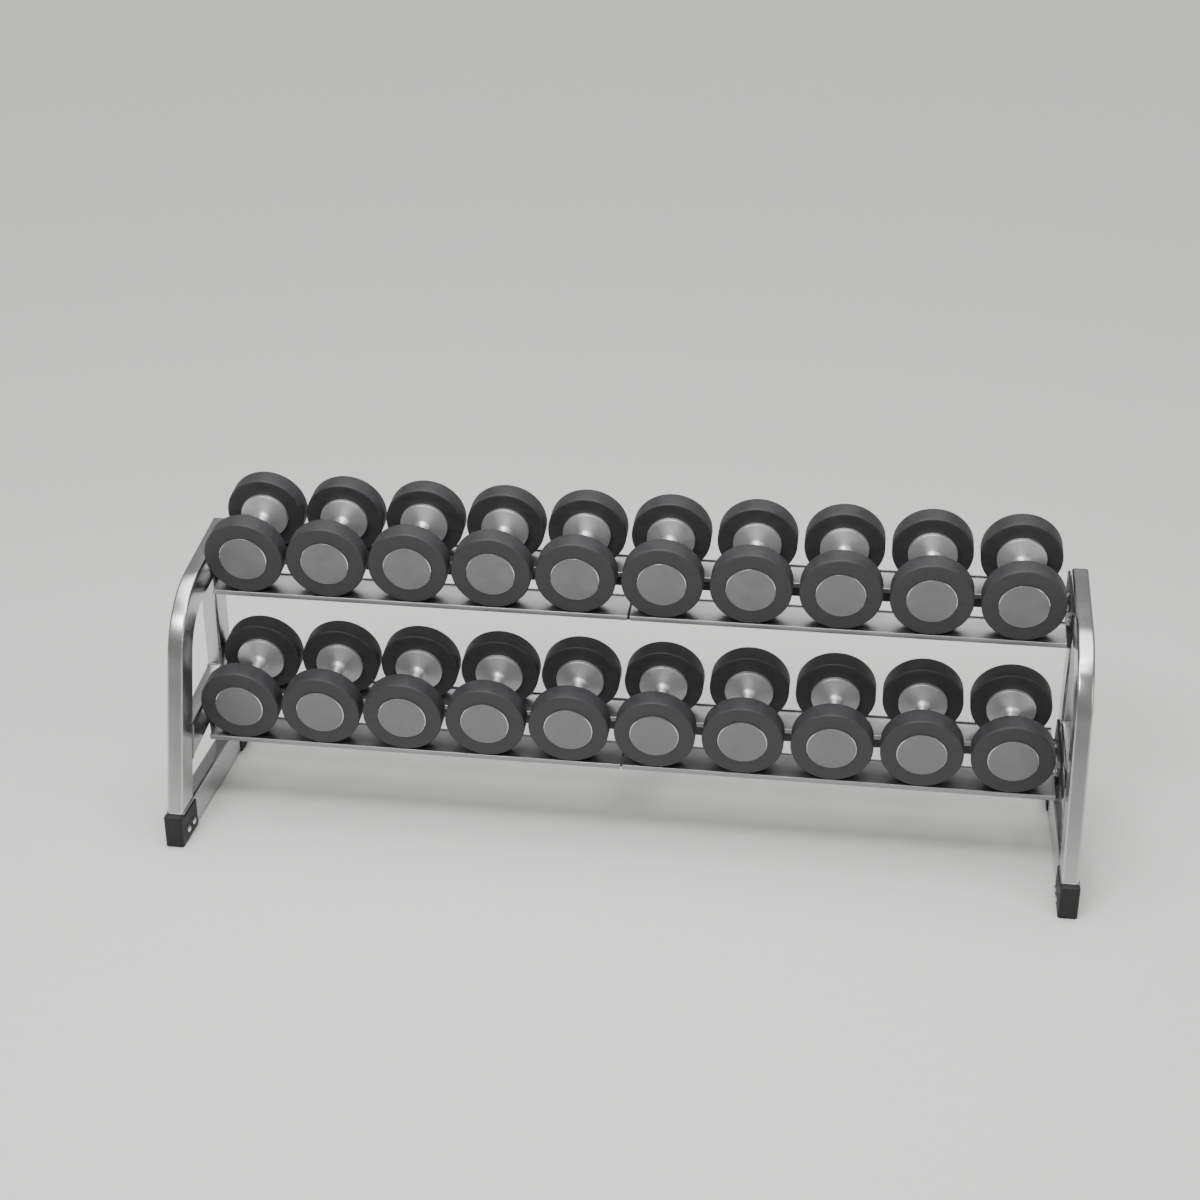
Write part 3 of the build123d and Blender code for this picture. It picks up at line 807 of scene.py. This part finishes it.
def folded_rail(side):
    """A rail about the origin: X along it, Y back along the tier, Z off it."""
    sizes = rack_sizes()
    low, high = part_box("top_front_rail_left")
    run = high.x - low.x
    front, back = getattr(sizes, f"{side}_rail_start"), getattr(sizes, f"{side}_rail_end")
    sheet = sizes.rail_sheet
    ledge = -dumbbell_sizes().head_radius - sizes.rest_gap
    deselect()
    bpy.ops.mesh.primitive_cube_add(size=1, location=(0, (front + back) / 2, ledge - sheet / 2))
    rail = bpy.context.object
    rail.scale = (run, back - front, sheet)
    bpy.ops.object.transform_apply(location=True, scale=True)
    for y in (front + sheet, back - sheet):
        edit(rail)
        bpy.ops.mesh.select_all(action="SELECT")
        bpy.ops.mesh.bisect(plane_co=(0, y, 0), plane_no=(0, 1, 0))
        bpy.ops.object.mode_set(mode="OBJECT")
    edit(rail)
    select_where(rail, "faces", lambda at, face: at.y < front + sheet and face.normal.z < -0.5)
    skirt = sizes.rail_skirt - sheet
    bpy.ops.mesh.extrude_region_move(TRANSFORM_OT_translate={"value": (0, 0, -skirt)})
    select_where(rail, "faces", lambda at, face: at.y > back - sheet and face.normal.z > 0.5)
    bpy.ops.mesh.extrude_region_move(TRANSFORM_OT_translate={"value": (0, 0, sizes.rail_lip)})
    low_face = ledge - sheet

    def fold(y, z, radius, segments):
        """Rounds the long edge at (y, z)."""
        bpy.ops.mesh.select_mode(type="EDGE")
        select_where(rail, "edges", lambda at, edge: hypot(at.y - y, at.z - z) < 1e-5
                     and abs(edge.verts[0].co.x - edge.verts[1].co.x) > run / 2)
        bpy.ops.mesh.bevel(offset=radius, segments=segments, affect="EDGES", profile=0.5)

    fold(front, ledge, FOLD_OUTSIDE, 6)
    fold(front + sheet, low_face, FOLD_INSIDE, 3)
    fold(back, low_face, FOLD_OUTSIDE, 6)
    fold(back - sheet, ledge, FOLD_INSIDE, 3)
    for y, z in ((back, ledge + sizes.rail_lip), (back - sheet, ledge + sizes.rail_lip),
                 (front, ledge - sizes.rail_skirt), (front + sheet, ledge - sizes.rail_skirt)):
        fold(y, z, SHEET_EDGE, 3)
    bpy.ops.object.mode_set(mode="OBJECT")
    return finish_piece(rail, "rail_master", shared_material(satin_steel_sheet), 32)


class RACK_OT_understructure(RackOperator, bpy.types.Operator):
    """Black powder coat on the beams, end plates and ties under the rails"""

    bl_idname = "rack.understructure"
    bl_label = "Beams and Plates"

    def execute(self, context):
        for node in ("top_tier_beams", "lower_tier_beams", "beam_end_plates", "centre_ties"):
            recoat(node, shared_material(black_powder_coat))
        return {"FINISHED"}


class RACK_OT_boots(RackOperator, bpy.types.Operator):
    """Moulded rubber floor boots and nylon tube plugs"""

    bl_idname = "rack.boots"
    bl_label = "Boots and Plugs"

    def execute(self, context):
        for node in ("front_floor_boots", "rear_floor_boots"):
            recoat(node, shared_material(moulded_rubber))
        recoat("top_run_plugs", shared_material(moulded_nylon))
        return {"FINISHED"}


class RACK_OT_fasteners(RackOperator, bpy.types.Operator):
    """Bright zinc on the bolts"""

    bl_idname = "rack.fasteners"
    bl_label = "Fasteners"

    def execute(self, context):
        for node in ("end_plate_bolts", "boot_bolts", "rail_bolts"):
            recoat(node, shared_material(zinc_plate))
        return {"FINISHED"}


def spread_over_dumbbells(master, piece_name, node_name):
    """Copies a piece to every dumbbell. It stands for that dumbbell's node if one is named."""
    for tier in TIERS:
        for number in dumbbell_numbers():
            body = dumbbell_name(tier, number)
            piece = copy_piece(master, f"{body}_{piece_name}", dumbbell_place(tier, number))
            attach(piece, body)
            if node_name:
                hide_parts(f"{body}_{node_name}")
    drop_master(master)


class RACK_OT_heads(RackOperator, bpy.types.Operator):
    """Round urethane heads with a seat for the disc and soft edges"""

    bl_idname = "rack.heads"
    bl_label = "Urethane Heads"

    def execute(self, context):
        sizes = dumbbell_sizes()
        front, back, radius, edge = sizes.head_front, sizes.head_back, sizes.head_radius, sizes.head_edge
        seat, lip = sizes.disc_radius + 0.1 * MM, 0.5 * MM
        flat_edge = radius - edge - 6 * MM    # the flat face is held level up to here
        outline = [(sizes.disc_seat, seat), (front + lip, seat)]
        outline += arc((front + lip, seat + lip), lip, 1.5 * pi, pi, SMALL_ARC_STEPS)[1:]
        outline += [(front, seat + 8 * MM), (front, flat_edge)]
        outline += arc((front + edge, radius - edge), edge, pi, pi / 2, ARC_STEPS)
        outline += arc((back - edge, radius - edge), edge, pi / 2, 0, ARC_STEPS)
        outline += [(back, flat_edge), (back, sizes.disc_radius), (back, 40 * MM), (back, TURNED_CENTRE)]
        head = turn_piece(outline)
        add_far_end(head)
        head = finish_piece(head, "head_master", shared_material(moulded_urethane), 38)
        spread_over_dumbbells(head, "urethane", "heads")
        return {"FINISHED"}


class RACK_OT_handles(RackOperator, bpy.types.Operator):
    """Turned steel handles with rims, cones, necks and a knurled grip"""

    bl_idname = "rack.handles"
    bl_label = "Handles"

    def execute(self, context):
        sizes = dumbbell_sizes()
        back, rim, face, grip = sizes.head_back, sizes.disc_radius, sizes.flange_face, sizes.grip_radius
        edge, groove = 1.2 * MM, 0.5 * MM
        half = [(back, TURNED_CENTRE), (back, rim / 2), (back, rim - 1 * MM), (back + 0.6 * MM, rim),
                (back + 1.6 * MM, rim), (face - edge - 1 * MM, rim), (face - edge, rim)]
        half += arc((face - edge, rim - edge), edge, pi / 2, pi / 8, SMALL_ARC_STEPS)[1:]
        cone_start = Vector(half[-1])
        cone_end = Vector((face + sizes.cone_length, grip + sizes.cone_step))
        shares = [step / CONE_STEPS for step in range(1, CONE_STEPS + 1)]
        half += [tuple(cone_start.lerp(cone_end, share)) for share in shares]
        neck_end = face + sizes.neck_length
        for share in shares:
            s = cone_end.x + (neck_end - cone_end.x) * share
            half.append((s, grip + sizes.cone_step * (1 - share) ** 2.2))
        knurl = sizes.overall / 2 - sizes.knurl_reach
        half += [(knurl - 1.2 * MM, grip), (knurl - 0.8 * MM, grip - groove), (knurl, grip - groove),
                 (knurl + 0.4 * MM, grip), (sizes.overall / 2, grip)]
        outline = half + [(sizes.overall - s, r) for s, r in reversed(half[:-1])]
        handle = turn_piece(outline)
        handle = finish_piece(handle, "handle_master", turned_handle_steel(), 30)
        turned_uv(handle)
        spread_over_dumbbells(handle, "handle", "bar")
        return {"FINISHED"}


class RACK_OT_discs(RackOperator, bpy.types.Operator):
    """Faced steel end discs whose polished bevelled rim is coloured lighter than the disc as a painted
    highlight
    """

    bl_idname = "rack.discs"
    bl_label = "End Discs"

    def execute(self, context):
        sizes = dumbbell_sizes()
        radius, seat, bevel = sizes.disc_radius, sizes.disc_seat, sizes.disc_bevel
        back = seat - 0.1 * MM
        face_radius, centre = radius - 3 * MM, 0.8 * MM
        outline = [(back, radius - 1 * MM), (back, radius), (bevel, radius), (0.2 * MM, radius - bevel),
                   (0, radius - bevel - 0.4 * MM)]
        outline += [(0, face_radius * (1 - ring / FACE_RINGS) + centre) for ring in range(FACE_RINGS + 1)]
        disc = turn_piece(outline)
        add_far_end(disc)
        disc = finish_piece(disc, "disc_master", faced_disc_steel(), 20)
        # the rim's second material is the real polish plus a painted highlight: its colour is lighter than
        # the disc's
        disc.data.materials.append(shared_material(polished_steel_rim))
        for polygon in disc.data.polygons:
            bevelled = 0.3 < abs(polygon.normal.z) < 0.99
            polygon.material_index = 1 if bevelled else 0
        turned_uv(disc)
        spread_over_dumbbells(disc, "discs", None)
        return {"FINISHED"}


def soft_light(name, place, target, size, power):
    """A rectangular softbox that faces a point and isn't seen itself."""
    deselect()
    bpy.ops.object.light_add(type="AREA", location=place)
    light = bpy.context.object
    light.name = name
    light.data.shape = "RECTANGLE"
    light.data.size, light.data.size_y = size
    light.data.energy = power
    light.visible_camera = False
    light.rotation_euler = (Vector(target) - Vector(place)).to_track_quat("-Z", "Y").to_euler()


class RACK_OT_stage(RackOperator, bpy.types.Operator):
    """Pale floor, soft studio lights and the camera"""

    bl_idname = "rack.stage"
    bl_label = "Studio"

    def execute(self, context):
        deselect()
        bpy.ops.mesh.primitive_circle_add(vertices=96, radius=40, fill_type="NGON", location=(0, 0, 0))
        floor = context.object
        floor.name = "studio_floor"
        floor.data.materials.append(pale_floor())

        middle = (0, 0, 0.4)
        soft_light("key_softbox", (-1.5, -3.7, 5.0), middle, (3.0, 1.2), 190)
        soft_light("rack_softbox", (0, -0.7, 2.5), (0, 0, 0.5), (2.8, 0.7), 34)
        soft_light("fill_softbox", (4.6, -2.6, 2.6), middle, (2.0, 2.0), 35)
        deselect()
        bpy.ops.object.light_add(type="SUN", location=(0, 0, 6), rotation=(radians(-10), 0, 0))
        ceiling = context.object
        ceiling.name = "ceiling_light"
        ceiling.data.energy = 2.45
        ceiling.data.angle = radians(50)
        world = bpy.data.worlds.new("studio")
        context.scene.world = world
        world.use_nodes = True
        backdrop = world.node_tree.nodes["Background"]
        backdrop.inputs["Color"].default_value = opaque(linear("#dcdcda"))
        backdrop.inputs["Strength"].default_value = 0.45

        deselect()
        bpy.ops.object.camera_add(location=(0.5646, -4.3505, 2.7175))
        camera = context.object
        camera.name = "view_camera"
        look_down, look_left = radians(25.66), radians(8.21)
        camera.rotation_euler = (pi / 2 - look_down, 0, look_left)
        camera.data.sensor_width = 36
        camera.data.lens = 60.87
        camera.data.clip_end = 200
        context.scene.camera = camera
        return {"FINISHED"}


class RACK_PT_panel(bpy.types.Panel):
    """Lists the rack's pieces and settings"""

    bl_idname = "RACK_PT_panel"
    bl_label = "Dumbbell Rack"
    bl_space_type = "VIEW_3D"
    bl_region_type = "UI"
    bl_category = "Rack"

    def draw(self, context):
        layout = self.layout
        for operator in OPERATORS:
            layout.operator(operator.bl_idname)
        for group in (context.scene.rack_sizes, context.scene.dumbbell_sizes, context.scene.rack_colours):
            box = layout.box()
            for name in group.__annotations__:
                box.prop(group, name)


OPERATORS = (RACK_OT_side_frames, RACK_OT_rails, RACK_OT_understructure, RACK_OT_boots,
             RACK_OT_fasteners, RACK_OT_heads, RACK_OT_handles, RACK_OT_discs, RACK_OT_stage)
GROUPS = {"rack_sizes": RackSizes, "dumbbell_sizes": DumbbellSizes, "rack_colours": RackColours}


def register():
    for cls in (*GROUPS.values(), *OPERATORS, RACK_PT_panel):
        bpy.utils.register_class(cls)
    for name, group in GROUPS.items():
        setattr(bpy.types.Scene, name, PointerProperty(type=group))


def unregister():
    for name in GROUPS:
        delattr(bpy.types.Scene, name)
    for cls in (RACK_PT_panel, *reversed(OPERATORS), *reversed(GROUPS.values())):
        bpy.utils.unregister_class(cls)


def main():
    register()
    for operator in OPERATORS:
        name = operator.bl_idname.split(".")[1]
        getattr(bpy.ops.rack, name)()


if __name__ == "__main__":
    main()
